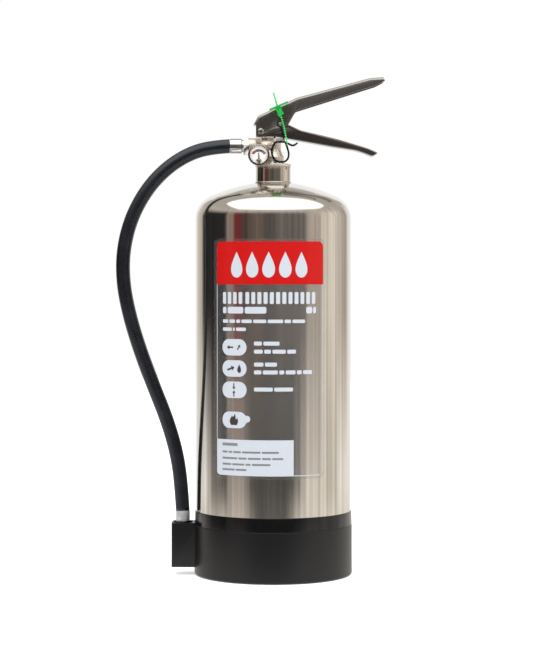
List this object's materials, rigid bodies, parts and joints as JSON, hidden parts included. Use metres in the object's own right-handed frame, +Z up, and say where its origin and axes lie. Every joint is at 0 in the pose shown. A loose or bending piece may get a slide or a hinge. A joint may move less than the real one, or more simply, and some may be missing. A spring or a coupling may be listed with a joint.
{
  "type": "fire extinguisher",
  "caption": "Stored-pressure water fire extinguisher: polished cylinder with domed ends, base skirt, squeeze-lever valve with gauge, safety pin, hose and nozzle.",
  "frame": {"origin": "on the floor, on the cylinder's axis, in the underside of the base skirt", "axes": "+Z up along the cylinder's axis; +X towards the tips of the handles; -X towards the hose; -Y the front with gauge and label"},
  "size_m": [0.2759, 0.1626, 0.5102],
  "materials": {
    "polished_stainless": "mirror polished stainless steel",
    "turned_stainless": "turned and welded stainless steel",
    "label_film": "printed polyester film",
    "black_moulding": "moulded polypropylene",
    "nickel_plated_brass": "nickel plated forged brass",
    "seal_rubber": "nitrile rubber",
    "bare_brass": "turned brass",
    "tube_plastic": "extruded polyethylene",
    "spring_steel": "stainless spring wire",
    "gauge_chrome": "chromed brass",
    "dial_enamel": "printed aluminium dial",
    "gauge_window": "clear polycarbonate",
    "needle_black": "black enamel",
    "lever_steel": "satin pressed stainless steel",
    "carry_steel": "pressed stainless steel",
    "rivet_steel": "headed steel",
    "pin_steel": "bright drawn steel",
    "ring_plastic": "moulded nylon",
    "seal_plastic": "moulded polypropylene",
    "hose_rubber": "cloth-wrapped rubber",
    "chrome": "chrome plate",
    "ferrule_steel": "pressed steel",
    "nozzle_plastic": "moulded nylon"
  },
  "bodies": {
    "extinguisher": {"base_skirt": "black_moulding", "body_screw": "nickel_plated_brass", "carry_handle": "carry_steel", "cylinder_shell": "polished_stainless", "dip_tube": "tube_plastic", "dip_tube_adaptor": "bare_brass", "dip_tube_strainer": "tube_plastic", "gauge_bezel": "gauge_chrome", "gauge_case": "gauge_chrome", "gauge_dial": "dial_enamel", "gauge_seal": "seal_rubber", "gauge_window": "gauge_window", "handle_cross_pin": "rivet_steel", "hose": "hose_rubber", "hose_nut": "chrome", "hose_tail": "chrome", "hose_washer": "seal_rubber", "label": "label_film", "lower_ferrule": "ferrule_steel", "neck_ring": "turned_stainless", "neck_seal": "seal_rubber", "neck_weld": "turned_stainless", "nozzle": "nozzle_plastic", "pivot_rivet": "rivet_steel", "port_plug": "nickel_plated_brass", "stem_seal": "seal_rubber", "stem_spring": "spring_steel", "upper_ferrule": "chrome", "valve_body": "nickel_plated_brass"},
    "squeeze_lever": {"squeeze_lever": "lever_steel"},
    "stem": {"valve_stem": "bare_brass", "valve_disc": "seal_rubber"},
    "safety_pin": {"safety_pin": "pin_steel", "pull_ring": "ring_plastic", "tamper_seal": "seal_plastic"},
    "needle": {"gauge_needle": "needle_black"}
  },
  "joints": [
    {"name": "lever_hinge", "type": "hinge", "parent": "extinguisher", "child": "squeeze_lever", "pos_m": [-0.0126, 0, 0.4548], "axis": [0, 1, 0], "range_deg": [0, 8], "stiffness_Nm_per_rad": 2.1, "springref_deg": -20.05},
    {"name": "stem_slide", "type": "slide", "parent": "extinguisher", "child": "stem", "axis": [0, 0, -1], "range_m": [0, 0.003], "deforming": ["stem_spring"]},
    {"name": "pin_slide", "type": "slide", "parent": "extinguisher", "child": "safety_pin", "axis": [0, -1, 0], "range_m": [0, 0.045]},
    {"name": "needle_hinge", "type": "hinge", "parent": "extinguisher", "child": "needle", "pos_m": [-0.0147, -0.02, 0.4247], "axis": [0, 1, 0], "range_deg": [-45, 45]}
  ],
  "couplings": [
    {"joint": "stem_slide", "follows": "lever_hinge", "m_per_rad": 0.0205}
  ]
}
